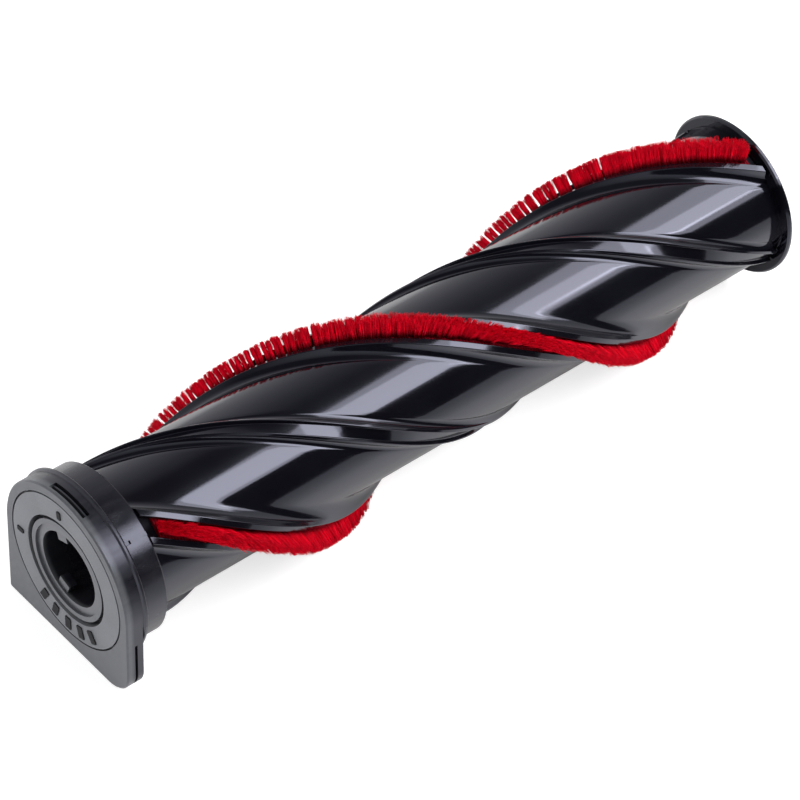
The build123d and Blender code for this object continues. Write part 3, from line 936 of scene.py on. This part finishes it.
def add_flag():
    """Dark, faintly glowing card in front of the roll, there only for reflections: it paints a dark
    reflection with a lighter foot.
    """
    mesh = bpy.data.meshes.new("flag")
    near, far = FLAG_X
    corners = [(near, FLOOR_Z), (far, FLOOR_Z), (far, FLAG_TOP_Z), (near, FLAG_TOP_Z)]
    mesh.from_pydata([(x, FLAG_Y, z) for x, z in corners], [], [(0, 1, 2, 3)])
    flag = link(bpy.data.objects.new("flag", mesh))
    m = Nodes("flag_card")
    m.tree.nodes.remove(m.shader)
    height = m.add("ShaderNodeSeparateXYZ", Vector=m.place()).outputs["Z"]
    brightness = m.ramp(height, FLAG_FOOT_GLOW, FLAG_GLOW, FLOOR_Z, FLOOR_Z + FLAG_FOOT_HEIGHT)
    glow = m.add("ShaderNodeEmission", Color=(1, 1, 1, 1), Strength=brightness)
    m.tree.links.new(glow.outputs[0], m.output.inputs["Surface"])
    mesh.materials.append(m.material)
    for rays in ("camera", "diffuse", "transmission", "shadow", "volume_scatter"):
        setattr(flag, "visible_" + rays, False)


def add_softbox():
    """Large soft light beside the camera, facing the roll, brighter towards its lower side."""
    back = SOFTBOX_CENTRE.normalized()
    along = (SOFTBOX_LONG_AXIS - back * SOFTBOX_LONG_AXIS.dot(back)).normalized()
    across = back.cross(along)
    for name, (length, width, shift_along, shift_across, forward, turn, radiance) in SOFTBOX_LAMPS.items():
        data = bpy.data.lights.new(name, "AREA")
        data.shape = "RECTANGLE"
        data.size, data.size_y = length, width
        data.energy = radiance * pi * length * width
        lamp = link(bpy.data.objects.new(name, data))
        place = SOFTBOX_CENTRE + along * shift_along + across * shift_across - back * forward
        axes = Matrix((along, across, back)).transposed() @ Matrix.Rotation(radians(turn), 3, "Z")
        lamp.matrix_world = Matrix.Translation(place) @ axes.to_4x4()


def add_fill():
    """Large soft light from behind the cap for the far side's pile, kept out of reflections."""
    data = bpy.data.lights.new("fill", "AREA")
    data.size = FILL_SIZE
    data.energy = FILL_RADIANCE * pi * FILL_SIZE**2
    lamp = link(bpy.data.objects.new("fill", data))
    turn = FILL_PLACE.to_track_quat("Z", "Y").to_matrix()
    lamp.matrix_world = Matrix.Translation(FILL_PLACE) @ turn.to_4x4()
    lamp.visible_glossy = False


def add_world():
    """Pale room: white at the horizon, dim overhead, white where the camera looks past the floor."""
    world = bpy.data.worlds.new("studio")
    bpy.context.scene.world = world
    world.use_nodes = True
    tree = world.node_tree
    direction = tree.nodes.new("ShaderNodeTexCoord")
    parts = tree.nodes.new("ShaderNodeSeparateXYZ")
    ramp = tree.nodes.new("ShaderNodeValToRGB")
    path = tree.nodes.new("ShaderNodeLightPath")
    shown = tree.nodes.new("ShaderNodeMix")
    shown.data_type = "RGBA"
    shown.inputs[7].default_value = (1, 1, 1, 1)
    tree.links.new(direction.outputs["Generated"], parts.inputs[0])
    tree.links.new(parts.outputs["Z"], ramp.inputs["Fac"])
    tree.links.new(path.outputs["Is Camera Ray"], shown.inputs["Factor"])
    tree.links.new(ramp.outputs["Color"], shown.inputs[6])
    tree.links.new(shown.outputs[2], tree.nodes["Background"].inputs["Color"])
    set_stops(ramp, ROOM_LEVELS)


dress_cad_nodes()
add_roller_tube()
for strip in STRIP_STARTS:
    add_pile(strip)
    add_backing(strip)
add_marks()
add_camera()
add_floor()
add_flag()
add_softbox()
add_fill()
add_world()
bpy.context.scene.view_settings.view_transform = "Standard"
